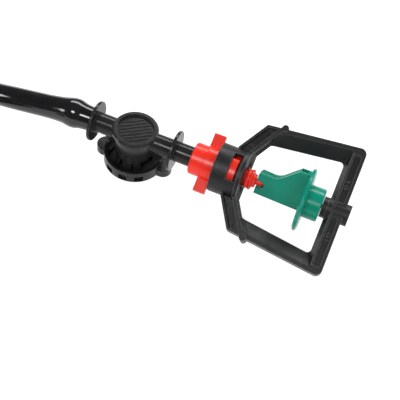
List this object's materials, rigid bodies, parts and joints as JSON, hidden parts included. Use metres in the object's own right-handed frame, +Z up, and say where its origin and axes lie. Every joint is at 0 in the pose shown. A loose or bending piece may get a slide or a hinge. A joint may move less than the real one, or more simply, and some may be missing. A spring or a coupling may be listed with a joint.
{
  "type": "impact sprinkler",
  "caption": "Hanging micro-sprinkler on a black hose: anti-leak valve with cap, red winged nozzle, flat bridge and a green rotating spreader with a fin.",
  "frame": {"origin": "centre of the footprint of the sprinkler without its hose, on the ground it lies on", "axes": "+X along the flow axis from the hose to the pivot boss, +Z up along the valve's own axis"},
  "size_m": [0.2085, 0.0846, 0.025],
  "materials": {
    "black_plastic": "semi-matt moulded",
    "red_plastic": "satin moulded",
    "green_plastic": "satin moulded",
    "hose_pvc": "glossy extruded",
    "rubber": "matt",
    "steel": "drawn wire",
    "bush_plastic": "semi-matt moulded"
  },
  "bodies": {
    "valve": {"valve_body": "black_plastic", "nozzle_body": "red_plastic", "nozzle_seal": "rubber", "diaphragm": "rubber", "hose_end": "hose_pvc", "hose_tube": "hose_pvc", "hose_coil": "hose_pvc", "coil_tie": "rubber", "supply_connector": "black_plastic"},
    "cap": {"valve_cap": "black_plastic"},
    "plunger": {"piston": "black_plastic", "valve_spring": "steel"},
    "bridge": {"bridge": "black_plastic", "pivot_plug": "black_plastic", "pivot_pin": "steel"},
    "rotor": {"rotor": "green_plastic", "rotor_bush": "bush_plastic"}
  },
  "joints": [
    {"name": "cap_twist", "type": "hinge", "parent": "valve", "child": "cap", "pos_m": [-0.02485, 0, 0], "axis": [0, 0, 1], "range_deg": [0, 40]},
    {"name": "valve_lift", "type": "slide", "parent": "valve", "child": "plunger", "axis": [0, 0, -1], "range_m": [0, 0.0012], "stiffness_N_per_m": 400, "springref_m": -0.0015, "deforming": ["valve_spring"]},
    {"name": "bridge_twist", "type": "hinge", "parent": "valve", "child": "bridge", "pos_m": [0.00515, 0, 0.0125], "axis": [1, 0, 0], "range_deg": [0, 60]},
    {"name": "rotor_spin", "type": "hinge", "parent": "bridge", "child": "rotor", "pos_m": [0.03315, 0, 0.0125], "axis": [1, 0, 0], "continuous": true}
  ]
}
